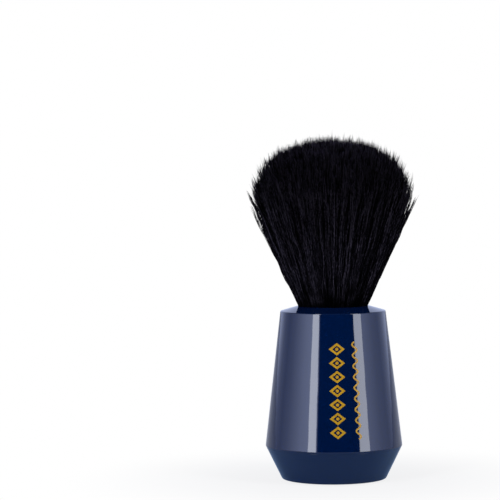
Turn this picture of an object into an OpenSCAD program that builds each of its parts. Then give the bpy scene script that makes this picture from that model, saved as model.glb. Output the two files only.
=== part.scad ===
// Shaving brush: a hollow moulded handle in two halves, ballasted and screwed together
// from below, with a potted knot of synthetic fibre bonded into its socket.
// Millimetres, +Z up, origin at the middle of the face that it stands on.

/* [Handle] */
// Height of the handle from its lower edge to the rim round the fibre
handle_h = 54.6; // [50:0.1:66]
// Widest diameter, at the ridge low on the handle
ridge_d = 43.2; // [41:0.1:48]
// Height of the ridge above the lower edge
ridge_h = 10.5; // [9:0.1:13]
// Diameter at the shoulder
shoulder_d = 33.2; // [32.6:0.1:36]
// How far the shoulder lies below the rim
shoulder_drop = 1.6; // [1.2:0.1:3]
// Diameter of the lower edge before it is rounded
base_d = 32.9; // [31:0.1:35]
// Wall of the body, between the ridge and the shoulder
body_wall = 2.6; // [2:0.1:2.8]
// Wall of the base, beside the ballast
base_wall = 2.6; // [2:0.1:3.2]
// Solid height above the hollow, measured down from the shoulder
crown_t = 7; // [5:0.5:9]
// Number of ribs inside the body
rib_count = 6; // [4:1:8]
// Thickness of a rib
rib_t = 1.6; // [1.2:0.1:2]
// Rounding of the lower edge
base_round = 0.6; // [0.4:0.1:1.2]
// Rounding of the shoulder
shoulder_round = 0.4; // [0.3:0.1:1]
// Rounding of the ridge
ridge_round = 0.8; // [0.3:0.1:1.2]
// Rounding of the rim
rim_round = 0.25; // [0.2:0.05:0.4]

/* [Socket] */
// Bore that the knot is bonded into
socket_d = 22; // [21:0.1:23]
// Depth of the bore below the rim
socket_depth = 14; // [12:0.5:16]
// Wall of the tube round the bore
socket_wall = 1.8; // [1.4:0.1:2]
// Floor of the bore
socket_floor = 2.2; // [1.6:0.1:3]

/* [Joint between body and base] */
// How far the joint lies below the ridge
joint_drop = 0.5; // [0.4:0.1:1]
// Rounding of both halves where they meet outside
joint_round = 0.05; // [0.02:0.01:0.1]
// Wall of the body round the spigot, measured at the ridge
register_wall = 2.8; // [2.4:0.1:3.2]
// Height of the spigot on the base
spigot_h = 5; // [4:0.5:7]
// Wall of the spigot
spigot_t = 2.4; // [2:0.1:3]
// Radial gap between spigot and body
spigot_fit = 0.1; // [0.05:0.05:0.2]
// Gap above the spigot
spigot_gap = 0.4; // [0.2:0.1:1]
// How far the hollow steps in above the spigot, beyond the body's wall
register_step = 0.4; // [0.2:0.1:0.8]
// Thickness of the seal ring once it is squeezed
seal_d = 1.4; // [1.2:0.1:1.6]
// Play of the seal ring along its groove
seal_play = 0.4; // [0.2:0.1:0.6]

/* [Ballast] */
// Diameter of the ballast
ballast_d = 28; // [24:0.5:28.5]
// Height of the ballast
ballast_h = 6; // [4:0.5:8]
// Gap round the ballast
ballast_gap = 0.2; // [0.1:0.1:0.4]
// Wall of the ring that centres the ballast
locator_t = 1.2; // [0.8:0.1:1.6]
// Height of the ring that centres the ballast
locator_h = 3; // [2:0.5:4]
// Chamfer of the ballast's edges
ballast_chamfer = 0.6; // [0.3:0.1:1]
// Gap between the ballast and the boss above it
boss_gap = 0.1; // [0.05:0.05:0.3]

/* [Screw] */
// Diameter of the screw over its thread
screw_d = 4; // [3.5:0.1:4.5]
// Length of the screw under its head
screw_l = 20; // [16:1:26]
// Diameter of the screw's head
head_d = 7.6; // [7:0.1:8.4]
// Height of the screw's head
head_h = 2; // [1.6:0.1:2.2]
// Rounding of the screw's head
head_round = 0.9; // [0.4:0.1:1.2]
// Width of each slot of the cross in the head
recess_w = 0.9; // [0.7:0.1:1.1]
// Depth of the cross in the head
recess_deep = 1.2; // [0.8:0.1:1.3]
// Length of the screw's tapered tip
tip_l = 2; // [1:0.5:3]
// Depth of the pocket that the head is sunk in
head_pocket = 2.2; // [2.2:0.1:2.6]
// Radial gap round the head and the shank
screw_gap = 0.3; // [0.2:0.1:0.5]
// Diameter of the boss that the screw bites into
boss_d = 9; // [8:0.5:11]
// Radial gap left for the thread in the boss
thread_fit = 0.05; // [0.02:0.01:0.1]

/* [Base] */
// Thickness of the floor between the pad and the ballast
floor_t = 3.6; // [3.2:0.1:4.5]
// Diameter of the non-slip pad
pad_d = 25; // [20:0.5:27]
// Thickness of the pad
pad_t = 1.2; // [0.8:0.1:1.6]
// Rounding of the pad's lower edge
pad_round = 0.25; // [0.1:0.05:0.4]
// How far the pad stands proud of the lower edge
pad_proud = 0.3; // [0.2:0.1:0.5]
// Radial gap round the pad
pad_gap = 0.2; // [0.1:0.1:0.4]

/* [Knot] */
// Height of the cup that the fibre is potted in
cup_h = 9; // [8:0.5:10]
// Wall of the cup
cup_wall = 0.7; // [0.5:0.1:1]
// Floor of the cup
cup_floor = 0.8; // [0.5:0.1:1.2]
// Adhesive round the cup
glue_side = 0.25; // [0.15:0.05:0.4]
// Adhesive under the cup
glue_bed = 0.5; // [0.3:0.1:1]
// Width of the thread binding
binding_h = 3; // [2:0.5:4]
// Thickness of the thread binding
binding_t = 0.9; // [0.6:0.1:1.2]
// Slice of potted roots that the strands rise from
root_t = 1; // [0.8:0.1:2]

/* [Fibre] */
// Rings of strands; ring k holds 6k of them
hair_rings = 11; // [10:1:12]
// Height of the fibre above the rim
loft = 53.1; // [46:0.1:60]
// Diameter of the fibre where it is widest
bloom_d = 50.6; // [44:0.2:56]
// Fullness of the dome of tips; 2 is an ellipse
dome_power = 2.3; // [1.8:0.1:2.6]
// Height of the widest place above the rim
bloom_h = 33.5; // [30:0.5:40]
// Gap between the fibre and the rim
neck_gap = 0.1; // [0.05:0.05:0.3]
// How far the outer strands bow outwards
bow = 0.7; // [0:0.1:1.2]
// Spread in the height of the tips
ragged = 1.4; // [0:0.2:2.4]

/* [Hidden] */
$fn = 96;
ARC_STEPS = 6;
NUDGE = 1;
RIB_LIFT = 1; // between the step in the hollow and the ribs' feet
SEAL_EASE = 0.02; // by which the seal ring is drawn clear of its groove and bore
HANDLE_BLUE = "#06204a";
FIBRE_BLACK = "#0b0a0e";

base_z = pad_proud;
ridge_z = base_z + ridge_h;
joint_z = ridge_z - joint_drop;
rim_z = base_z + handle_h;
shoulder_z = rim_z - shoulder_drop;
floor_z = pad_t + floor_t;
ballast_top = floor_z + ballast_h;
boss_z = ballast_top + boss_gap;
spigot_top = joint_z + spigot_h;
register_top = spigot_top + spigot_gap;
rib_z = register_top + RIB_LIFT;
seal_z = (joint_z + spigot_top) / 2;
crown_z = shoulder_z - crown_t;
socket_z = rim_z - socket_depth;
head_seat = pad_t + head_pocket;
cup_z = socket_z + glue_bed;
hair_z = cup_z + cup_h;
root_z = hair_z - root_t;

ridge_r = ridge_d / 2;
register_r = ridge_r - register_wall;
spigot_r = register_r - spigot_fit;
spigot_round = 0.4;
socket_r = socket_d / 2;
cup_r = socket_r - glue_side;
resin_r = cup_r - cup_wall;
screw_r = screw_d / 2;

// Radius of the body's outside, and of the base's, at a height
function body_r(z) =
    let (t = (z - ridge_z) / (shoulder_z - ridge_z))
    ridge_r + (shoulder_d / 2 - ridge_r) * t;
function base_r(z) =
    let (t = (z - base_z) / ridge_h)
    base_d / 2 + (ridge_r - base_d / 2) * t;

function unit(v) = v / norm(v);

// Points that round corner q of the path p, q, s with radius r
function corner(p, q, s, r) =
    r == 0 ? [q] :
    let (
        a = unit(p - q),
        b = unit(s - q),
        half = acos(a * b) / 2,
        centre = q + unit(a + b) * r / sin(half),
        from = q + a * r / tan(half) - centre,
        to = q + b * r / tan(half) - centre,
        turn = sign(cross(from, to)) * (180 - 2 * half)
    )
    [for (i = [0:ARC_STEPS])
        let (t = turn * i / ARC_STEPS)
        centre + [from.x * cos(t) - from.y * sin(t), from.x * sin(t) + from.y * cos(t)]];

// Closed outline from corners written as [radius, height, rounding]
function rounded(path) =
    let (n = len(path), xy = [for (p = path) [p.x, p.y]])
    [for (i = [0:n - 1]) each corner(xy[(i + n - 1) % n], xy[i], xy[(i + 1) % n], path[i].z)];

module turned(path) {
    rotate_extrude() polygon(rounded(path));
}

module bore(r, from, to) {
    translate([0, 0, from]) cylinder(r = r, h = to - from);
}

// ---- Handle -------------------------------------------------------------------------

module body_hollow() {
    tube_r = socket_r + socket_wall;
    turned([
        [0, joint_z - NUDGE, 0],
        [register_r, joint_z - NUDGE, 0],
        [register_r, register_top, 0],
        [body_r(register_top) - body_wall - register_step, register_top, 0],
        [body_r(crown_z) - body_wall, crown_z, 0],
        [tube_r, crown_z, 0],
        [tube_r, socket_z - socket_floor, 0],
        [boss_d / 2, socket_z - socket_floor, 0],
        [boss_d / 2, boss_z, 0],
        [0, boss_z, 0]
    ]);
}

module body_ribs() {
    for (i = [0:rib_count - 1])
        rotate(360 * i / rib_count)
            translate([0, -rib_t / 2, rib_z])
                cube([ridge_r, rib_t, rim_z]);
}

module handle_body() {
    color(HANDLE_BLUE)
    difference() {
        turned([
            [0, joint_z, 0],
            [base_r(joint_z), joint_z, joint_round],
            [ridge_r, ridge_z, ridge_round],
            [shoulder_d / 2, shoulder_z, shoulder_round],
            [socket_r, rim_z, rim_round],
            [socket_r, socket_z, 0],
            [0, socket_z, 0]
        ]);
        difference() {
            body_hollow();
            body_ribs();
        }
        bore(screw_r + thread_fit, boss_z - NUDGE, head_seat + screw_l + NUDGE);
    }
}

module seal_groove() {
    half = (seal_d + seal_play) / 2;
    rotate_extrude()
        translate([register_r - seal_d, seal_z - half])
            square([seal_d + NUDGE, 2 * half]);
}

module ballast_locator() {
    inner = ballast_d / 2 + ballast_gap;
    rotate_extrude()
        translate([inner, floor_z - NUDGE])
            square([locator_t, locator_h + NUDGE]);
}

module handle_base() {
    color(HANDLE_BLUE)
    difference() {
        union() {
            turned([
                [0, base_z, 0],
                [base_d / 2, base_z, base_round],
                [base_r(joint_z), joint_z, joint_round],
                [spigot_r, joint_z, 0],
                [spigot_r, spigot_top, spigot_round],
                [spigot_r - spigot_t, spigot_top, spigot_round],
                [spigot_r - spigot_t, joint_z, 0],
                [base_r(floor_z) - base_wall, floor_z, 0],
                [0, floor_z, 0]
            ]);
            ballast_locator();
        }
        seal_groove();
        bore(pad_d / 2 + pad_gap, 0, pad_t);
        bore(head_d / 2 + screw_gap, 0, head_seat);
        bore(screw_r + screw_gap, 0, floor_z + NUDGE);
    }
}

module base_pad() {
    color("#15171b")
    turned([
        [0, 0, 0],
        [pad_d / 2, 0, pad_round],
        [pad_d / 2, pad_t, 0],
        [0, pad_t, 0]
    ]);
}

module seal_ring() {
    color("#1b1b1d")
    rotate_extrude()
        translate([register_r - seal_d / 2, seal_z])
            circle(r = seal_d / 2 - SEAL_EASE);
}

module balance_weight() {
    hole_r = screw_r + screw_gap;
    c = ballast_chamfer;
    r = ballast_d / 2;
    color("silver")
    turned([
        [hole_r, floor_z, 0],
        [r - c, floor_z, 0],
        [r, floor_z + c, 0],
        [r, ballast_top - c, 0],
        [r - c, ballast_top, 0],
        [hole_r, ballast_top, 0]
    ]);
}

// Pan head down, cross recess in its underside, plain shank where the thread is
module base_screw() {
    head_r = head_d / 2;
    tip = head_seat + screw_l;
    tip_r = 0.3 * screw_r;
    recess_l = 0.7 * head_d;
    color("lightgrey")
    difference() {
        turned([
            [0, head_seat - head_h, 0],
            [head_r, head_seat - head_h, head_round],
            [head_r, head_seat, 0],
            [screw_r, head_seat, 0],
            [screw_r, tip - tip_l, 0],
            [tip_r, tip, 0],
            [0, tip, 0]
        ]);
        for (a = [0, 90])
            rotate(a)
                translate([-recess_l / 2, -recess_w / 2, head_seat - head_h - NUDGE])
                    cube([recess_l, recess_w, NUDGE + recess_deep]);
    }
}

// ---- Knot ---------------------------------------------------------------------------

module socket_adhesive() {
    color("#c9b98a")
    turned([
        [0, socket_z, 0],
        [socket_r, socket_z, 0],
        [socket_r, cup_z + cup_h, 0],
        [cup_r, cup_z + cup_h, 0],
        [cup_r, cup_z, 0],
        [0, cup_z, 0]
    ]);
}

module knot_cup() {
    color("#202124")
    turned([
        [0, cup_z, 0],
        [cup_r, cup_z, 0],
        [cup_r, cup_z + cup_h, 0],
        [resin_r, cup_z + cup_h, 0],
        [resin_r, cup_z + cup_floor, 0],
        [0, cup_z + cup_floor, 0]
    ]);
}

module binding_band(outer) {
    mid = (cup_z + cup_floor + root_z) / 2;
    rotate_extrude()
        translate([resin_r - binding_t, mid - binding_h / 2])
            square([outer - resin_r + binding_t, binding_h]);
}

module knot_resin() {
    color("#3a3428")
    difference() {
        bore(resin_r, cup_z + cup_floor, root_z);
        binding_band(resin_r + NUDGE);
    }
}

module binding_thread() {
    color("#d8d2c0") binding_band(resin_r);
}

// ---- Fibre --------------------------------------------------------------------------
// The top of the root slice is a disc of rings of 6k points, cut into triangles. Each
// triangle that has its base on the outer of two rings is the foot of one strand.

LEVELS = [0, 0.5, 0.92]; // shares of a strand's length at which it has a ring of points
LEVEL_WIDTH = [0.95, 0.9, 0.66]; // share of its cell that the strand fills there
STRAY = 0.16; // how far a point of the lattice strays, as a share of the ring spacing
RING_TURN = 0.618; // of a step, by which each ring of the lattice is turned on from the last
EDGE_GAP = 0.05; // between the slice of roots and the cup

hair_r = resin_r - EDGE_GAP;
neck_r = socket_r - neck_gap;
lattice_points = 1 + 3 * hair_rings * (hair_rings + 1);
edge_points = 6 * hair_rings;
strand_points = 3 * len(LEVELS) + 1;
stray_in = rands(-STRAY, STRAY, lattice_points, 3);
stray_round = rands(-STRAY, STRAY, lattice_points, 5);
stray_tip = rands(-0.5, 0.5, lattice_points, 7);

function polar(r, a, z) = [r * cos(a), r * sin(a), z];

// Where a fibre rooted at share u of the radius is, t of the way from the rim to its tip
function flow(u, a, t) =
    let (
        tip_r = bloom_d / 2 * pow(sin(90 * u), 2 / dome_power),
        tip_h = bloom_h + (loft - bloom_h) * pow(cos(90 * u), 2 / dome_power)
    )
    polar(neck_r * u + (tip_r - neck_r * u) * t + bow * u * sin(180 * t), a, rim_z + tip_h * t);

// Number of point i of ring k, and its share of the radius and its angle
function index_of(k, i) = k == 0 ? 0 : 1 + 3 * k * (k - 1) + i % (6 * k);
function place_of(k, i) =
    let (n = index_of(k, i), turn = ring_shift(k) + stray_round[n])
    k == 0 ? [0, 0] : [(k + (k < hair_rings ? stray_in[n] : 0)) / hair_rings, 60 * (i + turn) / k];

// Turns ring k by part of a step, so that no gap between strands runs straight inwards
function ring_shift(k) = (k * RING_TURN) % 1 - 0.5;

// The feet: for strand m of ring k, its three lattice points as [ring, number]
function foot(k, m) =
    let (sector = floor(m / k), j = m % k)
    [[k, m], [k, m + 1], [k - 1, sector * (k - 1) + j]];

function mean(v) = (v[0] + v[1] + v[2]) / 3;

function strand(k, m) =
    let (
        at = [for (f = foot(k, m)) place_of(f[0], f[1])],
        tips = [for (p = at) flow(p[0], p[1], 1)]
    )
    [
        for (level = [0:len(LEVELS) - 1])
            let (cell = [for (p = at) flow(p[0], p[1], LEVELS[level])])
            for (p = cell) mean(cell) + (p - mean(cell)) * LEVEL_WIDTH[level],
        mean(tips) + [0, 0, ragged * stray_tip[index_of(k, m)]]
    ];

function strand_faces(k, m) =
    let (
        first = lattice_points + edge_points + 1 + strand_points * (3 * k * (k - 1) + m),
        feet = [for (f = foot(k, m)) index_of(f[0], f[1])],
        rings = [feet, for (level = [0:len(LEVELS) - 1]) [for (i = [0:2]) first + 3 * level + i]],
        tip = first + strand_points - 1,
        top = rings[len(LEVELS)]
    )
    [
        for (level = [0:len(LEVELS) - 1])
            for (i = [0:2])
                let (low = rings[level], high = rings[level + 1], n = (i + 1) % 3)
                for (face = [[low[i], high[i], high[n]], [low[i], high[n], low[n]]]) face,
        for (i = [0:2]) [top[i], tip, top[(i + 1) % 3]]
    ];

module bristles() {
    bottom = lattice_points;
    centre = bottom + edge_points;
    rim = [for (i = [0:edge_points - 1]) index_of(hair_rings, i)];
    points = [
        for (k = [0:hair_rings])
            for (i = [0:max(0, 6 * k - 1)])
                let (p = place_of(k, i))
                polar(hair_r * p[0], p[1], hair_z),
        for (i = [0:edge_points - 1]) polar(hair_r, place_of(hair_rings, i)[1], root_z),
        [0, 0, root_z],
        for (k = [1:hair_rings])
            for (m = [0:6 * k - 1])
                each strand(k, m)
    ];
    strands = [
        for (k = [1:hair_rings])
            for (m = [0:6 * k - 1])
                each strand_faces(k, m)
    ];
    between = [
        for (k = [2:hair_rings])
            for (sector = [0:5])
                for (j = [0:k - 2])
                    let (inner = sector * (k - 1) + j)
                    [index_of(k - 1, inner), index_of(k - 1, inner + 1), index_of(k, sector * k + j + 1)]
    ];
    sides = [
        for (i = [0:edge_points - 1])
            let (n = (i + 1) % edge_points)
            for (face = [[bottom + i, rim[i], rim[n]], [bottom + i, rim[n], bottom + n]]) face
    ];
    underside = [for (i = [0:edge_points - 1]) [centre, bottom + i, bottom + (i + 1) % edge_points]];
    color(FIBRE_BLACK)
    polyhedron(points, concat(strands, between, sides, underside), convexity = 12);
}

handle_body();
handle_base();
base_pad();
seal_ring();
balance_weight();
base_screw();
socket_adhesive();
knot_cup();
knot_resin();
binding_thread();
bristles();
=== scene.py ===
"""Looks of the shaving brush: studio, handle finish, foil ornament and fibre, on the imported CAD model."""
import math

import bmesh
import bpy
import numpy as np
from mathutils import Matrix, Vector
from mathutils.bvhtree import BVHTree
from mathutils.kdtree import KDTree


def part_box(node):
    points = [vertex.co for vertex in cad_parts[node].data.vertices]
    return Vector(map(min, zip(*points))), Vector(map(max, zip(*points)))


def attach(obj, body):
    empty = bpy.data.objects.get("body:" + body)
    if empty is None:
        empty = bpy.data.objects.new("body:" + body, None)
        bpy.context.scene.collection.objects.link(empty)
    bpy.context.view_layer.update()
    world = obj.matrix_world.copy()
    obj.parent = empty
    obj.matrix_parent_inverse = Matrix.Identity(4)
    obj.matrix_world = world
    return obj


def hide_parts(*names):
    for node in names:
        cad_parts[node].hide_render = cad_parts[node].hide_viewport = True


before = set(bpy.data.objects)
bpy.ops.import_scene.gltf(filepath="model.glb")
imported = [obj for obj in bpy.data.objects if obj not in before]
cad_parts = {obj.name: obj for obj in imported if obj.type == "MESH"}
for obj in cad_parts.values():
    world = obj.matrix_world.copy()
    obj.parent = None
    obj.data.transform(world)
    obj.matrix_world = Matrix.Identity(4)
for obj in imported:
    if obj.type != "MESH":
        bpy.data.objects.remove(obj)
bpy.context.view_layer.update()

MM = 0.001


# ---- Small helpers ------------------------------------------------------------------

def new_object(name, mesh):
    piece = bpy.data.objects.new(name, mesh)
    bpy.context.scene.collection.objects.link(piece)
    return piece


def add_node(tree, kind, **settings):
    """A node with its properties set; names that start with in_ set input sockets by their label."""
    made = tree.nodes.new(kind)
    for key, value in settings.items():
        if key.startswith("in_"):
            made.inputs[key[3:].replace("_", " ")].default_value = value
        else:
            setattr(made, key, value)
    return made


def add_math(tree, operation, *values):
    """A Math node over numbers or output sockets. Returns its output."""
    made = add_node(tree, "ShaderNodeMath", operation=operation)
    for socket, value in zip(made.inputs, values):
        if isinstance(value, bpy.types.NodeSocket):
            tree.links.new(value, socket)
        else:
            socket.default_value = value
    return made.outputs[0]


def centred(tree, noise, swing):
    """Noise as a change either way, swing from its lowest to its highest."""
    return add_math(tree, "MULTIPLY", add_math(tree, "SUBTRACT", noise, 0.5), swing)


def add_ramp(tree, factor, stops):
    """A ColorRamp over factor; stops are (position, grey level or colour)."""
    made = add_node(tree, "ShaderNodeValToRGB")
    elements = made.color_ramp.elements
    while len(elements) < len(stops):
        elements.new(0.5)
    for element, (position, value) in zip(elements, stops):
        element.position = position
        grey = isinstance(value, (int, float))
        element.color = (value, value, value, 1) if grey else (*value, 1)
    tree.links.new(factor, made.inputs["Fac"])
    return made.outputs["Color"]


def multiply(tree, colour, shade):
    """The product of a colour output and another one, or a number."""
    mix = add_node(tree, "ShaderNodeMix", data_type="RGBA", blend_type="MULTIPLY")
    mix.inputs[0].default_value = 1
    tree.links.new(colour, mix.inputs[6])
    if isinstance(shade, bpy.types.NodeSocket):
        tree.links.new(shade, mix.inputs[7])
    else:
        mix.inputs[7].default_value = (shade, shade, shade, 1)
    return mix.outputs[2]


def map_range(tree, value, low, high, at_low=0.0, at_high=1.0, kind="SMOOTHSTEP"):
    """A step from at_low to at_high as value goes from low to high."""
    made = add_node(tree, "ShaderNodeMapRange", interpolation_type=kind)
    for key, number in {"From Min": low, "From Max": high, "To Min": at_low, "To Max": at_high}.items():
        made.inputs[key].default_value = number
    tree.links.new(value, made.inputs["Value"])
    return made.outputs["Result"]


def new_material(name, **sockets):
    """A material with one Principled shader, its uniform values set on its own sockets."""
    made = bpy.data.materials.new(name)
    made.use_nodes = True
    shader = made.node_tree.nodes["Principled BSDF"]
    for key, value in sockets.items():
        shader.inputs[key.replace("_", " ")].default_value = value
    return made, made.node_tree, shader


def object_noise(tree, scale, detail=2.0, stretch=(1, 1, 1), roughness=0.5):
    """Noise fixed to the object, with scale in features per metre."""
    place = add_node(tree, "ShaderNodeTexCoord")
    mapping = add_node(tree, "ShaderNodeMapping", in_Scale=stretch)
    noise = add_node(tree, "ShaderNodeTexNoise", in_Scale=scale, in_Detail=detail, in_Roughness=roughness)
    tree.links.new(place.outputs["Object"], mapping.inputs["Vector"])
    tree.links.new(mapping.outputs["Vector"], noise.inputs["Vector"])
    return noise.outputs["Fac"]


def add_bump(tree, shader, height, depth):
    """Bump of the given depth in metres."""
    bump = add_node(tree, "ShaderNodeBump", in_Strength=1.0, in_Distance=depth)
    tree.links.new(height, bump.inputs["Height"])
    tree.links.new(bump.outputs["Normal"], shader.inputs["Normal"])


def finish_with(material, *nodes):
    for name in nodes:
        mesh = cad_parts[name].data
        mesh.materials.clear()
        mesh.materials.append(material)


# ---- Camera, floor and light --------------------------------------------------------

# The camera, in metres from the middle of the face that the brush stands on, and in degrees
CAMERA_DISTANCE = 0.7255
CAMERA_HEIGHT = 0.1008
CAMERA_LENS = 165.6
CAMERA_DOWN = 2.224
CAMERA_LEFT = 2.054
CAMERA_ROLL = -0.528

# Upright soft boxes as (name, azimuth, width in degrees as the brush sees it, radiance)
STRIPS = [("strip_left", -37, 14, 5.0), ("strip_right", 53, 18, 4.3)]
STRIP_DISTANCE = 0.9
STRIP_HEIGHT = 1.1
STRIP_TINT = (0.98, 1.0, 1.02)

# Brightness of the studio round the brush: azimuth in degrees, 0 towards the camera, and level
STUDIO = [
    (-180, 0.7), (-140, 0.8), (-122, 0.5), (-105, 0.45), (-88, 0.8), (-72, 1.4),
    (-58, 2.0), (-44, 2.4), (-30, 2.4), (-28, 0.0), (44, 0.0), (46, 1.55),
    (66, 1.55), (90, 0.85), (108, 0.55), (124, 0.65), (140, 0.85), (180, 0.7),
]
STUDIO_TINT = (0.95, 1.08, 1.55)
# Level overhead, and how steep a direction is, as a sine, where the sides begin and end to pass into it
STUDIO_TOP = 0.12
TOP_BEGINS = 0.35
TOP_COMPLETE = 0.75
# A ramp holds levels up to 1, so they are divided by this and the light is multiplied by it
STUDIO_GAIN = 2.4

FLOOR_RADIUS = 3.0
# Colour of the floor as the camera sees it, and as it lights the brush and shows in it from nearby and from
# further away; the darker, bluer colour nearby is a painted shade that only light and reflections see
FLOOR_PALE = (1.0, 0.97, 0.92)
FLOOR_SHADED_NEAR = (0.45, 0.66, 0.9)
FLOOR_FAR = (0.95, 0.95, 0.95)
NEAR_END = 0.03
FAR_START = 0.075
# Share of plain white that the camera sees on the floor: beside the brush, and from the fade's end on
WHITE_BESIDE = 0.82
WHITE_AWAY = 1.0
FADE_START = 0.02
FADE_END = 0.09


def make_camera():
    data = bpy.data.cameras.new("camera")
    data.lens = CAMERA_LENS
    data.sensor_width = 36
    data.clip_start = 0.05
    data.clip_end = 20
    camera = bpy.data.objects.new("camera", data)
    camera.location = (0, -CAMERA_DISTANCE, CAMERA_HEIGHT)
    turn = Matrix.Rotation(math.radians(CAMERA_LEFT), 3, "Z")
    tilt = Matrix.Rotation(math.radians(90 - CAMERA_DOWN), 3, "X")
    roll = Matrix.Rotation(math.radians(CAMERA_ROLL), 3, "Z")
    camera.rotation_euler = (turn @ tilt @ roll).to_euler()
    bpy.context.scene.collection.objects.link(camera)
    bpy.context.scene.camera = camera


def floor_material():
    """Pale to the camera, with the brush's shadow, and white further away; tinted as a light on the brush,
    with a painted shade near it for light and reflections.
    """
    material, tree, shader = new_material("floor", Roughness=0.9, Specular_IOR_Level=0.1)
    place = add_node(tree, "ShaderNodeTexCoord")
    length = add_node(tree, "ShaderNodeVectorMath", operation="LENGTH")
    tree.links.new(place.outputs["Object"], length.inputs[0])
    distance = length.outputs["Value"]
    seen = add_node(tree, "ShaderNodeLightPath").outputs["Is Camera Ray"]
    # Painted shade: the floor is darker near the brush for light and reflections only
    shaded_bounce = add_ramp(tree, distance, [(NEAR_END, FLOOR_SHADED_NEAR), (FAR_START, FLOOR_FAR)])
    colour = add_node(tree, "ShaderNodeMix", data_type="RGBA")
    colour.inputs[7].default_value = (*FLOOR_PALE, 1)
    tree.links.new(seen, colour.inputs[0])
    tree.links.new(shaded_bounce, colour.inputs[6])
    tree.links.new(colour.outputs[2], shader.inputs["Base Color"])
    fade = map_range(tree, distance, FADE_START, FADE_END, WHITE_BESIDE, WHITE_AWAY)
    white = add_node(tree, "ShaderNodeEmission", in_Color=(1, 1, 1, 1), in_Strength=1.0)
    mix = add_node(tree, "ShaderNodeMixShader")
    tree.links.new(add_math(tree, "MULTIPLY", fade, seen), mix.inputs[0])
    tree.links.new(shader.outputs[0], mix.inputs[1])
    tree.links.new(white.outputs[0], mix.inputs[2])
    tree.links.new(mix.outputs[0], tree.nodes["Material Output"].inputs["Surface"])
    return material


def make_floor():
    mesh = bpy.data.meshes.new("floor")
    shape = bmesh.new()
    bmesh.ops.create_circle(shape, cap_ends=True, segments=96, radius=FLOOR_RADIUS)
    shape.to_mesh(mesh)
    shape.free()
    floor = new_object("floor", mesh)
    mesh.materials.append(floor_material())


def make_strips():
    """Upright soft boxes beside the camera, as tall as the reflections on the handle need."""
    for name, azimuth, width, radiance in STRIPS:
        size_x = 2 * STRIP_DISTANCE * math.tan(math.radians(width / 2))
        light = bpy.data.lights.new(name, "AREA")
        light.shape = "RECTANGLE"
        light.size = size_x
        light.size_y = STRIP_HEIGHT
        light.energy = radiance * math.pi * size_x * STRIP_HEIGHT
        light.color = STRIP_TINT
        lamp = bpy.data.objects.new(name, light)
        towards = Vector((math.sin(math.radians(azimuth)), -math.cos(math.radians(azimuth)), 0))
        lamp.location = towards * STRIP_DISTANCE + Vector((0, 0, STRIP_HEIGHT / 2))
        lamp.rotation_euler = towards.to_track_quat("Z", "Y").to_euler()
        lamp.visible_camera = False
        bpy.context.scene.collection.objects.link(lamp)


def studio_light(tree):
    """Background shader of a studio that is bright at the sides, dark in front and dim overhead."""
    direction = add_node(tree, "ShaderNodeSeparateXYZ")
    place = add_node(tree, "ShaderNodeTexCoord")
    tree.links.new(place.outputs["Generated"], direction.inputs[0])
    x, y, z = direction.outputs
    azimuth = add_math(tree, "ARCTAN2", x, add_math(tree, "MULTIPLY", y, -1.0))
    turn = add_math(tree, "MULTIPLY_ADD", azimuth, 0.5 / math.pi, 0.5)
    stops = []
    for degrees, level in STUDIO:
        stops.append((degrees / 360 + 0.5, tuple(level * tint / STUDIO_GAIN for tint in STUDIO_TINT)))
    top = add_node(tree, "ShaderNodeMix", data_type="RGBA")
    top.inputs[7].default_value = (STUDIO_TOP / STUDIO_GAIN,) * 3 + (1,)
    tree.links.new(map_range(tree, z, TOP_BEGINS, TOP_COMPLETE), top.inputs[0])
    tree.links.new(add_ramp(tree, turn, stops), top.inputs[6])
    studio = add_node(tree, "ShaderNodeBackground", in_Strength=STUDIO_GAIN)
    tree.links.new(top.outputs[2], studio.inputs["Color"])
    return studio.outputs[0]


def make_world():
    """White for the camera, and the studio for light and reflections."""
    world = bpy.data.worlds.new("studio")
    bpy.context.scene.world = world
    world.use_nodes = True
    tree = world.node_tree
    white = tree.nodes["Background"]
    white.inputs["Color"].default_value = (1, 1, 1, 1)
    white.inputs["Strength"].default_value = 1.0
    mix = add_node(tree, "ShaderNodeMixShader")
    tree.links.new(add_node(tree, "ShaderNodeLightPath").outputs["Is Camera Ray"], mix.inputs[0])
    tree.links.new(studio_light(tree), mix.inputs[1])
    tree.links.new(white.outputs[0], mix.inputs[2])
    tree.links.new(mix.outputs[0], tree.nodes["World Output"].inputs["Surface"])


# ---- Materials ----------------------------------------------------------------------

NAVY_DARK = (0.0003, 0.0068, 0.034)
NAVY_LIGHT = (0.0004, 0.0082, 0.041)

# Roughness of the handle where it is as moulded, and where it is worn
MOULDED = 0.04
WORN = 0.09

# Depths of the bumps
MOULD_WAVES = 0.05 * MM
RUBBER_GRAIN = 0.06 * MM
TURNING_MARKS = 0.02 * MM
RESIN_RIPPLES = 0.08 * MM
THREAD_GROOVES = 0.1 * MM


def handle_plastic():
    """Deep navy gloss, with a slight waviness of the moulding and faint wear."""
    material, tree, shader = new_material("handle_plastic", IOR=1.55)
    pigment = object_noise(tree, 900, detail=3)
    navy = add_ramp(tree, pigment, [(0.3, NAVY_DARK), (0.7, NAVY_LIGHT)])
    tree.links.new(navy, shader.inputs["Base Color"])
    wear = object_noise(tree, 260, detail=6, stretch=(1, 1, 0.35), roughness=0.7)
    tree.links.new(add_ramp(tree, wear, [(0.45, MOULDED), (0.8, WORN)]), shader.inputs["Roughness"])
    waves = object_noise(tree, 130, detail=1.5, stretch=(1, 1, 0.7))
    add_bump(tree, shader, waves, MOULD_WAVES)
    return material


def plain_rubber(name, colour, grain):
    """Dull and slightly mottled, with as many grains to a metre as grain says."""
    material, tree, shader = new_material(name, Roughness=0.75)
    tone = object_noise(tree, 300, detail=3)
    dark = tuple(0.8 * c for c in colour)
    tree.links.new(add_ramp(tree, tone, [(0.3, dark), (0.7, colour)]), shader.inputs["Base Color"])
    add_bump(tree, shader, object_noise(tree, grain, detail=3), RUBBER_GRAIN)
    return material


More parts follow.
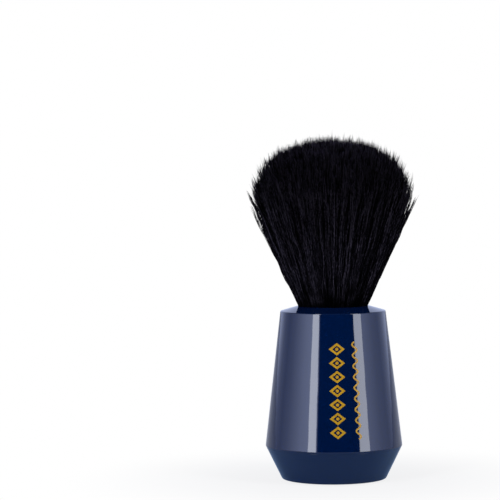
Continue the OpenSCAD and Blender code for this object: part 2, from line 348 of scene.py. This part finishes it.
def turned_steel(name, colour):
    """Rings of the lathe tool round the axis."""
    material, tree, shader = new_material(name, Metallic=1.0, Roughness=0.3)
    place = add_node(tree, "ShaderNodeTexCoord")
    rings = add_node(tree, "ShaderNodeTexWave", wave_type="RINGS", rings_direction="Z", in_Scale=900)
    rings.inputs["Distortion"].default_value = 1.0
    tree.links.new(place.outputs["Object"], rings.inputs["Vector"])
    tone = add_ramp(tree, rings.outputs["Fac"], [(0, tuple(0.85 * c for c in colour)), (1, colour)])
    tree.links.new(tone, shader.inputs["Base Color"])
    add_bump(tree, shader, rings.outputs["Fac"], TURNING_MARKS)
    return material


def cured_resin(name, dark, light):
    """Half-gloss with clouds from dark to light."""
    material, tree, shader = new_material(name, Roughness=0.35)
    clouds = object_noise(tree, 400, detail=4)
    tree.links.new(add_ramp(tree, clouds, [(0.3, dark), (0.7, light)]), shader.inputs["Base Color"])
    add_bump(tree, shader, clouds, RESIN_RIPPLES)
    return material


def waxed_thread():
    """Turns of thread that lie beside each other round the roots, darker in the grooves between them as a
    painted shade.
    """
    material, tree, shader = new_material("thread", Roughness=0.8)
    place = add_node(tree, "ShaderNodeTexCoord")
    turns = add_node(tree, "ShaderNodeTexWave", bands_direction="Z", in_Scale=700)
    turns.inputs["Distortion"].default_value = 0.6
    tree.links.new(place.outputs["Object"], turns.inputs["Vector"])
    # Darker where the bump is low, in the grooves between turns: a painted shade
    tone = add_ramp(tree, turns.outputs["Fac"], [(0, (0.3, 0.27, 0.2)), (1, (0.68, 0.64, 0.54))])
    tree.links.new(tone, shader.inputs["Base Color"])
    add_bump(tree, shader, turns.outputs["Fac"], THREAD_GROOVES)
    return material


def dress_cad_nodes():
    finish_with(handle_plastic(), "handle_body", "handle_base")
    finish_with(plain_rubber("pad_rubber", (0.014, 0.015, 0.017), 2500), "base_pad")
    finish_with(plain_rubber("seal_rubber", (0.015, 0.015, 0.015), 4000), "seal_ring")
    finish_with(turned_steel("weight_steel", (0.45, 0.46, 0.47)), "balance_weight")
    finish_with(turned_steel("screw_steel", (0.6, 0.6, 0.62)), "base_screw")
    finish_with(cured_resin("adhesive", (0.35, 0.28, 0.15), (0.55, 0.46, 0.28)), "socket_adhesive")
    finish_with(plain_rubber("cup_plastic", (0.014, 0.014, 0.016), 1500), "knot_cup")
    finish_with(cured_resin("potting_resin", (0.015, 0.012, 0.01), (0.05, 0.04, 0.03)), "knot_resin")
    finish_with(waxed_thread(), "binding_thread")


# ---- Fibre --------------------------------------------------------------------------

# Seeds of the paths, of the stray locks and of how far each fibre is turned about itself
KNOT_SEED = 21
STRAY_SEED = 22
TURN_SEED = 20

# Fibres lie in strands, strands in locks and locks in tufts
FIBRES = 24000
FIBRES_A_PIECE = 2400
STRANDS = 10000
LOCKS = 5500
TUFTS = 420

FIBRE_RADIUS = 0.085 * MM
TIP_RADIUS = 0.05 * MM
TAPER_START = 0.5
TAPER_POWER = 1.3
# Levels of a path, as shares of the way from the rim to the tip
LEVELS = np.array([0, 0.08, 0.17, 0.26, 0.35, 0.44, 0.53, 0.62, 0.71, 0.8, 0.88, 0.95, 1.0])

# How far points on the disc are moved out of their regular order, as a share of their spacing
SCATTER = 0.4

# Form of the knot: height of the widest place as a share of the loft, fullness of the dome, outward bow
BLOOM_SHARE = 0.63
DOME_POWER = 2.2
BOW = 0.45 * MM
# Room that the paths leave inside the cup, inside the socket and under the top of the solid fibre
ROOT_ROOM = 0.35 * MM
NECK_ROOM = 0.1 * MM
TIP_ROOM = 0.5 * MM

# How far a path wanders from level to level, and the share of the way at which it does so fully
STRAND_WEAVE = 0.2 * MM
FIBRE_WEAVE = 0.05 * MM
WEAVE_GROWS = 0.25

# Reach of a fibre as a share of the way to the dome, and its spread by tuft, lock and fibre
REACH = 0.983
TUFT_SPREAD = 0.003
LOCK_SPREAD = 0.006
FIBRE_SPREAD = 0.003
REACH_LEAST = 0.7
REACH_MOST = 1.08
# Locks that stand proud: how many and by how much, and what is added at the outside
PROUD_SHARE = 0.25
PROUD_SHARE_OUTSIDE = 0.15
PROUD = 0.034
PROUD_OUTSIDE = 0.045
OUTSIDE_POWER = 4
# Fibres that end short: how many, the least reach and the spread above it
SHORT_SHARE = 0.06
SHORT_LEAST = 0.82
SHORT_SPREAD = 0.16

# How far fibres draw together, as shares of the way to the middle, and how late on the way they do
TO_STRAND = 0.7
TO_TUFT = 0.1
TO_LOCK = 0.6
TO_LOCK_SPREAD = 0.35
TUFT_POWER = 2.5
LOCK_POWER = 6
# Spread of where tufts and strands end up, on the unit disc
TUFT_DRIFT = 0.012
STRAND_DRIFT = 0.01

# Locks that have sprung away: number, fibres in each, place on the unit disc, reach and how far they spring
STRAY_LOCKS = 80
FIBRES_A_STRAY = 12
STRAY_FAN = 0.02
STRAY_EDGE = 0.98
STRAY_EDGE_SPREAD = 0.025
STRAY_REACH = 0.9
STRAY_REACH_SPREAD = 0.2
STRAY_TIP_SPREAD = 0.02
SPRING = 0.09
SPRING_LEAST = 0.2
SPRING_POWER = 1.5
STRAY_LOCK_SWAY = 0.012
STRAY_FIBRE_SWAY = 0.008
STRAY_TONE = 0.7

# Tones: how many for locks and for strands, and by how many steps they are dealt out
LOCK_TONES = 16
STRAND_TONES = 8
TONES = LOCK_TONES * STRAND_TONES
LOCK_STRIDE = 1
STRAND_STRIDE = 3
# Room that the UV map leaves beside each tone's column, as a share of its width, and at both ends
COLUMN_EDGE = 0.1
END_EDGE = 0.01
# Painted sheen in streaks along a lock or a strand: changes over its length, and their swing
LOCK_SHEEN_STREAKS = (26, 1.3)
STRAND_SHEEN_STREAKS = (48, 1.8)
SHEEN_STREAK_APART = 7.3
# Weight of the strand's tone against the lock's, low and high on the fibre, and where it changes
STRAND_SHARE_LOW = 0.85
STRAND_SHARE_HIGH = 0.75
SHARE_FROM = 0.2
SHARE_TO = 0.75
# Contrast of the tones by height, which sharpens the painted sheen of lit strands against the painted shade
# between them, and the tone that it turns about
TONE_SPREAD = [(0, 0.33), (0.15, 0.14), (0.5, 0.26), (0.75, 0.95), (1, 0.6)]
TONE_SPREAD_GAIN = 5.4
TONE_PIVOT = 0.56
# Colours of the tones, black to grey: the lighter tones are partly lighter fibres and partly a painted sheen
FIBRE_TONES = [
    (0.12, (0.0002, 0.0002, 0.0003)), (0.4, (0.0036, 0.003, 0.0042)),
    (0.68, (0.014, 0.0118, 0.016)), (0.95, (0.04, 0.034, 0.045)),
]
# Painted shade by height above the rim: darkest at the root, darker again over the upper dome and a little
# lighter at the top; shaken by noise of this many features to a metre and this swing
PAINTED_HEIGHT_SHADE = [
    (0, 0.02), (0.035, 0.09), (0.1, 0.32), (0.2, 0.58), (0.4, 0.49),
    (0.6, 0.3), (0.75, 0.15), (0.88, 0.165), (1, 0.23),
]
PAINTED_SHADE_GAIN = 3.0
SHAKE_SCALE = 230
SHAKE_SWING = 0.3
# Painted light along a fibre: a painted shade just under the tip, and a lilac painted highlight at the tip
# itself
PAINTED_TIP_LIGHT = [(0.88, 0.12), (0.93, 0.088), (0.96, 0.11), (1, (0.48, 0.46, 0.66))]
PAINTED_TIP_GAIN = 8.0


class Knot:
    """Where the fibre leaves the roots, passes the rim and ends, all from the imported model."""

    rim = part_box("handle_body")[1].z
    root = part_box("knot_resin")[1].z
    root_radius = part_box("knot_resin")[1].x - ROOT_ROOM
    neck_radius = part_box("socket_adhesive")[1].x - NECK_ROOM
    bloom_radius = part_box("bristles")[1].x
    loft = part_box("bristles")[1].z - rim - TIP_ROOM
    bloom = BLOOM_SHARE * loft


def scattered(rng, count):
    """Points spread evenly over the unit disc: a sunflower's order, each moved by a share of its spacing."""
    order = np.arange(count) + 0.5
    radius = np.sqrt(order / count)
    angle = order * np.pi * (3 - np.sqrt(5))
    points = np.stack([radius * np.cos(angle), radius * np.sin(angle)], -1)
    return points + rng.standard_normal((count, 2)) * SCATTER / np.sqrt(count)


def nearest(points, centres):
    """For each point, the number of the centre that lies nearest."""
    tree = KDTree(len(centres))
    for number, (x, y) in enumerate(centres):
        tree.insert((x, y, 0), number)
    tree.balance()
    return np.array([tree.find((x, y, 0))[1] for x, y in points])


def dealt_out(rng, group, levels, stride):
    """A level for each member, dealt at random within its group, so that each group gets nearly all."""
    order = np.lexsort((rng.random(len(group)), group))
    level = np.empty(len(group), int)
    level[order] = np.arange(len(group)) * stride % levels
    return level


def flow(disc, t):
    """Where a fibre that belongs at a point of the unit disc is, t of the way from the rim to the dome."""
    u = np.linalg.norm(disc, axis=-1, keepdims=True)
    u_in = np.minimum(u, 1)
    along = disc / np.maximum(u, 1e-6)
    tip_height = Knot.bloom + (Knot.loft - Knot.bloom) * (1 - u_in ** DOME_POWER) ** (1 / DOME_POWER)
    neck = Knot.neck_radius * u
    radius = neck + (Knot.bloom_radius * u - neck) * t + BOW * u * np.sin(np.pi * np.clip(t, 0, 1))
    return np.concatenate([along * radius, Knot.rim + tip_height * t], -1)


def grown(rng, own, reach, shift, strand):
    """Paths from the root through the rim to the tips; shift(t) moves the fibres' places on the disc."""
    count = len(own)
    rings = [np.concatenate([own * Knot.root_radius, np.full((count, 1), Knot.root)], -1)]
    for t in LEVELS:
        points = flow(own + shift(t), (t * reach)[:, None])
        weave = STRAND_WEAVE * rng.standard_normal((strand.max() + 1, 2))[strand]
        weave += FIBRE_WEAVE * rng.standard_normal((count, 2))
        points[:, :2] += weave * min(1, t / WEAVE_GROWS)
        rings.append(points)
    return np.stack(rings, 1)


def fibre_reach(rng, tuft, lock, locks):
    """How far each fibre reaches: uneven all over, with some locks proud and some fibres short."""
    reach = REACH + TUFT_SPREAD * rng.standard_normal(TUFTS)[tuft]
    reach += LOCK_SPREAD * rng.standard_normal(LOCKS)[lock] + FIBRE_SPREAD * rng.standard_normal(FIBRES)
    outside = np.linalg.norm(locks, axis=-1) ** OUTSIDE_POWER
    proud = (PROUD + PROUD_OUTSIDE * outside) * rng.random(LOCKS)
    proud *= rng.random(LOCKS) < PROUD_SHARE + PROUD_SHARE_OUTSIDE * outside
    reach += proud[lock]
    short = rng.random(FIBRES) < SHORT_SHARE
    reach[short] *= SHORT_LEAST + SHORT_SPREAD * rng.random(short.sum())
    return np.clip(reach, REACH_LEAST, REACH_MOST)


def fibre_paths(rng):
    """Every fibre from root to tip, in strands that draw together into locks, and every fibre's tone."""
    own = scattered(rng, FIBRES)
    tufts = scattered(rng, TUFTS)
    locks = scattered(rng, LOCKS)
    strands = scattered(rng, STRANDS)
    tuft = nearest(own, tufts)
    strand = nearest(own, strands)
    lock_of_strand = nearest(strands, locks)
    lock = lock_of_strand[strand]
    reach = fibre_reach(rng, tuft, lock, locks)
    to_tuft = (tufts[tuft] - own) * TO_TUFT
    to_strand = (strands[strand] - own) * TO_STRAND
    to_lock = locks[lock] - own - to_strand
    to_lock *= (TO_LOCK + TO_LOCK_SPREAD * rng.random(FIBRES))[:, None]
    drift = TUFT_DRIFT * rng.standard_normal((TUFTS, 2))[tuft]
    drift += STRAND_DRIFT * rng.standard_normal((STRANDS, 2))[strand]

    def shift(t):
        return to_strand + (to_tuft + drift) * t ** TUFT_POWER + to_lock * t ** LOCK_POWER

    paths = grown(rng, own, reach, shift, strand)
    lock_tone = dealt_out(rng, nearest(locks, tufts), LOCK_TONES, LOCK_STRIDE)[lock]
    strand_tone = dealt_out(rng, lock_of_strand, STRAND_TONES, STRAND_STRIDE)[strand]
    return paths, (lock_tone * STRAND_TONES + strand_tone + 0.5) / TONES


def stray_paths(rng):
    """Small locks at the outside that have sprung away from the rest, and their fibres' tones."""
    count = STRAY_LOCKS * FIBRES_A_STRAY
    lock = np.repeat(np.arange(STRAY_LOCKS), FIBRES_A_STRAY)
    angle = (2 * np.pi * rng.random(STRAY_LOCKS))[lock] + STRAY_FAN * rng.standard_normal(count)
    edge = STRAY_EDGE + STRAY_EDGE_SPREAD * rng.random(STRAY_LOCKS)[lock]
    own = np.stack([edge * np.cos(angle), edge * np.sin(angle)], -1)
    spring = own * (SPRING * rng.random(STRAY_LOCKS) ** 3)[lock][:, None]
    spring *= SPRING_LEAST + (1 - SPRING_LEAST) * rng.random((count, 1))
    spring += STRAY_LOCK_SWAY * rng.standard_normal((STRAY_LOCKS, 2))[lock]
    spring += STRAY_FIBRE_SWAY * rng.standard_normal((count, 2))
    reach = (STRAY_REACH + STRAY_REACH_SPREAD * rng.random(STRAY_LOCKS))[lock]
    reach += STRAY_TIP_SPREAD * rng.standard_normal(count)

    def shift(t):
        return spring * t ** SPRING_POWER

    paths = grown(rng, own, reach, shift, lock)
    return paths, STRAY_TONE * rng.random(count)


def fibre_points(paths, turn):
    """For each path three corners round every level but the last, and then the tip itself."""
    count, levels = paths.shape[:2]
    along = np.gradient(paths, axis=1)
    along /= np.linalg.norm(along, axis=-1, keepdims=True)
    side = np.cross(along, np.array([1.0, 0, 0]))
    side /= np.linalg.norm(side, axis=-1, keepdims=True)
    other = np.cross(along, side)
    taper = np.clip((np.linspace(0, 1, levels) - TAPER_START) / (1 - TAPER_START), 0, 1) ** TAPER_POWER
    radius = FIBRE_RADIUS + (TIP_RADIUS - FIBRE_RADIUS) * taper
    corners = []
    for corner in range(3):
        around = turn[:, None, None] + corner * 2 * np.pi / 3
        offset = np.cos(around) * side + np.sin(around) * other
        corners.append(paths + offset * radius[None, :, None])
    body = np.stack(corners, 2)[:, :-1].reshape(count, -1, 3)
    return np.concatenate([body, paths[:, -1:]], 1)


def fibre_faces(rings):
    """The faces of one fibre, each as its corners and their (side, ring) places."""
    quads = []
    ends = []
    tip = 3 * rings
    for corner in range(3):
        after = (corner + 1) % 3
        for ring in range(rings - 1):
            low = 3 * ring
            high = low + 3
            places = [(0, ring), (1, ring), (1, ring + 1), (0, ring + 1)]
            quads.append(([low + corner, low + after, high + after, high + corner], places))
        places = [(0, rings - 1), (1, rings - 1), (0.5, rings)]
        ends.append(([tip - 3 + corner, tip - 3 + after, tip], places))
    ends.append(([2, 1, 0], [(0, 0), (1, 0), (0.5, 0.5)]))
    return quads + ends


def fibre_mesh(name, paths, tone, turn):
    """Closed three-sided fibres along the paths, as one mesh; UVs hold tone and place along the fibre."""
    count = len(paths)
    rings = paths.shape[1] - 1
    points = fibre_points(paths, turn)
    faces = fibre_faces(rings)
    first = np.arange(count)[:, None] * points.shape[1]
    loops = first + np.concatenate([corners for corners, _ in faces])
    sizes = np.tile([len(corners) for corners, _ in faces], count)
    place = np.concatenate([places for _, places in faces])
    across = COLUMN_EDGE + (1 - 2 * COLUMN_EDGE) * place[:, 0]
    u = (np.floor(tone * TONES)[:, None] + across) / TONES
    v = np.broadcast_to(END_EDGE + (1 - 2 * END_EDGE) * place[:, 1] / rings, u.shape)
    mesh = bpy.data.meshes.new(name)
    mesh.vertices.add(points.shape[0] * points.shape[1])
    mesh.vertices.foreach_set("co", points.astype(np.float32).ravel())
    mesh.loops.add(loops.size)
    mesh.loops.foreach_set("vertex_index", loops.astype(np.int32).ravel())
    mesh.polygons.add(len(sizes))
    mesh.polygons.foreach_set("loop_start", (np.cumsum(sizes) - sizes).astype(np.int32))
    mesh.update(calc_edges=True)
    layer = mesh.uv_layers.new(name="OFBake")
    layer.data.foreach_set("uv", np.stack([u, v], -1).astype(np.float32).ravel())
    mesh.polygons.foreach_set("use_smooth", np.ones(len(sizes), bool))
    mesh.validate()
    return mesh


def sheen_streak(tree, column, along, rate, swing):
    """Painted sheen along a fibre, as a change of tone: rate is in changes over its length, and each column
    has its own.
    """
    spot = add_node(tree, "ShaderNodeCombineXYZ")
    tree.links.new(add_math(tree, "MULTIPLY", column, SHEEN_STREAK_APART), spot.inputs[0])
    tree.links.new(add_math(tree, "MULTIPLY", along, rate), spot.inputs[1])
    noise = add_node(tree, "ShaderNodeTexNoise", in_Scale=1.0, in_Detail=1.0)
    tree.links.new(spot.outputs[0], noise.inputs["Vector"])
    return centred(tree, noise.outputs["Fac"], swing)


def mixed_tone(tree, tone, along):
    """The tone of a fibre from its lock's and its strand's, each with painted sheen streaks of its own."""
    column = add_math(tree, "FLOOR", add_math(tree, "MULTIPLY", tone, TONES))
    lock = add_math(tree, "FLOOR", add_math(tree, "DIVIDE", column, STRAND_TONES))
    strand = add_math(tree, "MODULO", column, STRAND_TONES)
    lock_tone = add_math(tree, "DIVIDE", lock, LOCK_TONES - 1)
    strand_tone = add_math(tree, "DIVIDE", strand, STRAND_TONES - 1)
    lock_tone = add_math(tree, "ADD", lock_tone, sheen_streak(tree, lock, along, *LOCK_SHEEN_STREAKS))
    strand_tone = add_math(tree, "ADD", strand_tone, sheen_streak(tree, column, along, *STRAND_SHEEN_STREAKS))
    share = map_range(tree, along, SHARE_FROM, SHARE_TO, STRAND_SHARE_LOW, STRAND_SHARE_HIGH)
    mixed = add_node(tree, "ShaderNodeMix", data_type="FLOAT")
    tree.links.new(share, mixed.inputs[0])
    tree.links.new(lock_tone, mixed.inputs[2])
    tree.links.new(strand_tone, mixed.inputs[3])
    return mixed.outputs[0]


def fibre_black():
    """Black synthetic fibre whose tone differs by lock and strand, with painted light and shade: sheen
    streaks along its length, shade by height that is darkest where it leaves the socket, and lit tips.
    """
    material, tree, shader = new_material("fibre", Roughness=0.5, Specular_IOR_Level=0.015)
    place = add_node(tree, "ShaderNodeUVMap", uv_map="OFBake")
    split = add_node(tree, "ShaderNodeSeparateXYZ")
    tree.links.new(place.outputs["UV"], split.inputs[0])
    tone, along = split.outputs[:2]
    where = add_node(tree, "ShaderNodeSeparateXYZ")
    tree.links.new(add_node(tree, "ShaderNodeTexCoord").outputs["Object"], where.inputs[0])
    height = map_range(tree, where.outputs[2], Knot.rim, Knot.rim + Knot.loft, kind="LINEAR")
    contrast = add_math(tree, "MULTIPLY", add_ramp(tree, height, TONE_SPREAD), TONE_SPREAD_GAIN)
    apart = add_math(tree, "SUBTRACT", mixed_tone(tree, tone, along), TONE_PIVOT)
    spread = add_math(tree, "MULTIPLY", apart, contrast)
    colour = add_ramp(tree, add_math(tree, "ADD", spread, 0.5), FIBRE_TONES)
    shake = centred(tree, object_noise(tree, SHAKE_SCALE, detail=4), SHAKE_SWING)
    # Painted shade by height: darkest at the root, darker over the upper dome
    shade = add_ramp(tree, add_math(tree, "ADD", height, shake), PAINTED_HEIGHT_SHADE)
    colour = multiply(tree, colour, multiply(tree, shade, PAINTED_SHADE_GAIN))
    # Painted highlight at the tips, and painted shade just under them
    tip = multiply(tree, add_ramp(tree, along, PAINTED_TIP_LIGHT), PAINTED_TIP_GAIN)
    tree.links.new(multiply(tree, colour, tip), shader.inputs["Base Color"])
    return material


def add_fibres(name, paths, tone, turn, material):
    mesh = fibre_mesh(name, paths, tone, turn)
    mesh.materials.append(material)
    piece = new_object(name, mesh)
    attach(piece, "root")
    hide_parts("bristles")


def make_knot():
    """The fibre in pieces that are each a sector of the knot, and the stray locks."""
    material = fibre_black()
    rng = np.random.default_rng(TURN_SEED)
    paths, tone = fibre_paths(np.random.default_rng(KNOT_SEED))
    order = np.argsort(np.arctan2(paths[:, 1, 1], paths[:, 1, 0]))
    for number, rows in enumerate(np.array_split(order, math.ceil(FIBRES / FIBRES_A_PIECE))):
        turn = 2 * np.pi * rng.random(len(rows))
        add_fibres(f"knot_fibre_{number + 1}", paths[rows], tone[rows], turn, material)
    paths, tone = stray_paths(np.random.default_rng(STRAY_SEED))
    add_fibres("stray_fibre", paths, tone, 2 * np.pi * rng.random(len(paths)), material)


# ---- Ornament -----------------------------------------------------------------------

# The ornament's lower and upper end, above the face that the brush stands on
ORNAMENT_LOW = 14.8 * MM
ORNAMENT_HIGH = 44.6 * MM

# Band of lozenges, each with a dot; the height is a share of the distance from one to the next
LOZENGES = 7
LOZENGE_AZIMUTH = 3.5
LOZENGE_WIDTH = 5.0 * MM
LOZENGE_SHARE = 0.9
LINE_WIDTH = 0.66 * MM
DOT_RADIUS = 0.5 * MM
SIDE_STEPS = 5
DOT_STEPS = 16

# Wavy line
WAVE_AZIMUTH = 21.5
WAVES = 9
WAVE_SWING = 0.75 * MM
WAVE_LINE = 0.5 * MM
WAVE_STEPS = 14

# How far the foil stands out of the handle and reaches into it
FOIL_PROUD = 0.04 * MM
FOIL_SUNK = 0.03 * MM

GOLD_DARK = (0.42, 0.21, 0.004)
GOLD_LIGHT = (0.56, 0.3, 0.007)
INK_GRAIN = 0.02 * MM

# A distance from the axis that is outside the handle at any height
OUTSIDE = 100 * MM


class HandleSurface:
    """The handle's outside, found by looking at it from outside towards the axis."""

    def __init__(self):
        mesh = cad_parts["handle_body"].data
        points = [v.co for v in mesh.vertices]
        self.tree = BVHTree.FromPolygons(points, [p.vertices for p in mesh.polygons])
        self.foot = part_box("base_pad")[0].z

    def put(self, azimuth, across, up, proud):
        """The point across to the right of the azimuth and up from the foot, so far proud of the surface."""
        height = self.foot + up
        middle = self.radius(math.radians(azimuth), height)
        angle = math.radians(azimuth) + across / middle
        radius = self.radius(angle, height) + proud
        return Vector((radius * math.sin(angle), -radius * math.cos(angle), height))

    def radius(self, angle, height):
        outwards = Vector((math.sin(angle), -math.cos(angle), 0))
        hit = self.tree.ray_cast(outwards * OUTSIDE + Vector((0, 0, height)), -outwards)[0]
        return Vector((hit.x, hit.y)).length


def lozenge(width, height):
    """The outline of a lozenge, as (across, up) points."""
    corners = [Vector((width / 2, 0)), Vector((0, height / 2))]
    corners += [-corner for corner in corners]
    outline = []
    for n, corner in enumerate(corners):
        after = corners[(n + 1) % 4]
        outline += [corner.lerp(after, step / SIDE_STEPS) for step in range(SIDE_STEPS)]
    return outline


def circle(radius):
    """The outline of a dot, as (across, up) points."""
    angles = [2 * math.pi * step / DOT_STEPS for step in range(DOT_STEPS)]
    return [Vector((radius * math.cos(angle), radius * math.sin(angle))) for angle in angles]


def foil_ring(shape, surface, azimuth, up, outer, inner):
    """A closed, thin band of foil between two outlines with as many points, or a full patch without inner."""
    def loop(outline, proud):
        return [shape.verts.new(surface.put(azimuth, p.x, up + p.y, proud)) for p in outline]

    def wall(one, other):
        for n in range(len(one)):
            after = (n + 1) % len(one)
            shape.faces.new([one[n], one[after], other[after], other[n]])

    def lid(loop_points, middle, turn):
        for n in range(len(loop_points)):
            pair = [loop_points[n], loop_points[(n + 1) % len(loop_points)]]
            shape.faces.new([*pair[::turn], middle])

    top, bottom = loop(outer, FOIL_PROUD), loop(outer, -FOIL_SUNK)
    wall(bottom, top)
    if inner is None:
        for points, proud, turn in ((top, FOIL_PROUD, 1), (bottom, -FOIL_SUNK, -1)):
            lid(points, shape.verts.new(surface.put(azimuth, 0, up, proud)), turn)
        return
    inner_top, inner_bottom = loop(inner, FOIL_PROUD), loop(inner, -FOIL_SUNK)
    wall(top, inner_top)
    wall(inner_top, inner_bottom)
    wall(inner_bottom, bottom)


def foil_wave(shape, surface):
    """A closed, thin band of foil that swings from side to side on its way up."""
    rows = []
    steps = WAVES * WAVE_STEPS
    rise = (ORNAMENT_HIGH - ORNAMENT_LOW) / steps
    for step in range(steps + 1):
        phase = 2 * math.pi * step / WAVE_STEPS
        middle = Vector((WAVE_SWING * math.sin(phase), ORNAMENT_LOW + step * rise))
        course = Vector((WAVE_SWING * math.cos(phase) * 2 * math.pi / WAVE_STEPS, rise)).normalized()
        side = Vector((course.y, -course.x)) * WAVE_LINE / 2
        corners = [(middle - side, FOIL_PROUD), (middle + side, FOIL_PROUD),
                   (middle + side, -FOIL_SUNK), (middle - side, -FOIL_SUNK)]
        rows.append([shape.verts.new(surface.put(WAVE_AZIMUTH, p.x, p.y, proud)) for p, proud in corners])
    for row, after in zip(rows, rows[1:]):
        for n in range(4):
            m = (n + 1) % 4
            shape.faces.new([row[n], row[m], after[m], after[n]])
    shape.faces.new(rows[0][::-1])
    shape.faces.new(rows[-1])


def gold_ink():
    """Printed gold: slightly uneven in cover, with a soft gloss."""
    material, tree, shader = new_material("ornament_gold", Roughness=0.4, Specular_IOR_Level=0.3)
    cover = object_noise(tree, 1800, detail=4)
    tree.links.new(add_ramp(tree, cover, [(0.3, GOLD_DARK), (0.7, GOLD_LIGHT)]), shader.inputs["Base Color"])
    add_bump(tree, shader, cover, INK_GRAIN)
    return material


def foil_lozenges(shape, surface):
    """Lozenges above each other, drawn with a line of even width, with a dot in each."""
    pitch = (ORNAMENT_HIGH - ORNAMENT_LOW) / LOZENGES
    height = LOZENGE_SHARE * pitch
    slope = math.hypot(LOZENGE_WIDTH, height)
    inner_width = LOZENGE_WIDTH - 2 * LINE_WIDTH * slope / height
    inner_height = height - 2 * LINE_WIDTH * slope / LOZENGE_WIDTH
    outer = lozenge(LOZENGE_WIDTH, height)
    inner = lozenge(inner_width, inner_height)
    for n in range(LOZENGES):
        up = ORNAMENT_LOW + (n + 0.5) * pitch
        foil_ring(shape, surface, LOZENGE_AZIMUTH, up, outer, inner)
        foil_ring(shape, surface, LOZENGE_AZIMUTH, up, circle(DOT_RADIUS), None)


def make_ornament():
    """A plain band of lozenges with a wavy line beside it."""
    surface = HandleSurface()
    shape = bmesh.new()
    foil_lozenges(shape, surface)
    foil_wave(shape, surface)
    bmesh.ops.recalc_face_normals(shape, faces=shape.faces)
    mesh = bpy.data.meshes.new("gold_ornament")
    shape.to_mesh(mesh)
    shape.free()
    mesh.materials.append(gold_ink())
    piece = new_object("gold_ornament", mesh)
    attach(piece, "root")


# ---- The scene ----------------------------------------------------------------------

bpy.context.scene.view_settings.view_transform = "Standard"
make_camera()
make_floor()
make_strips()
make_world()
dress_cad_nodes()
make_ornament()
make_knot()
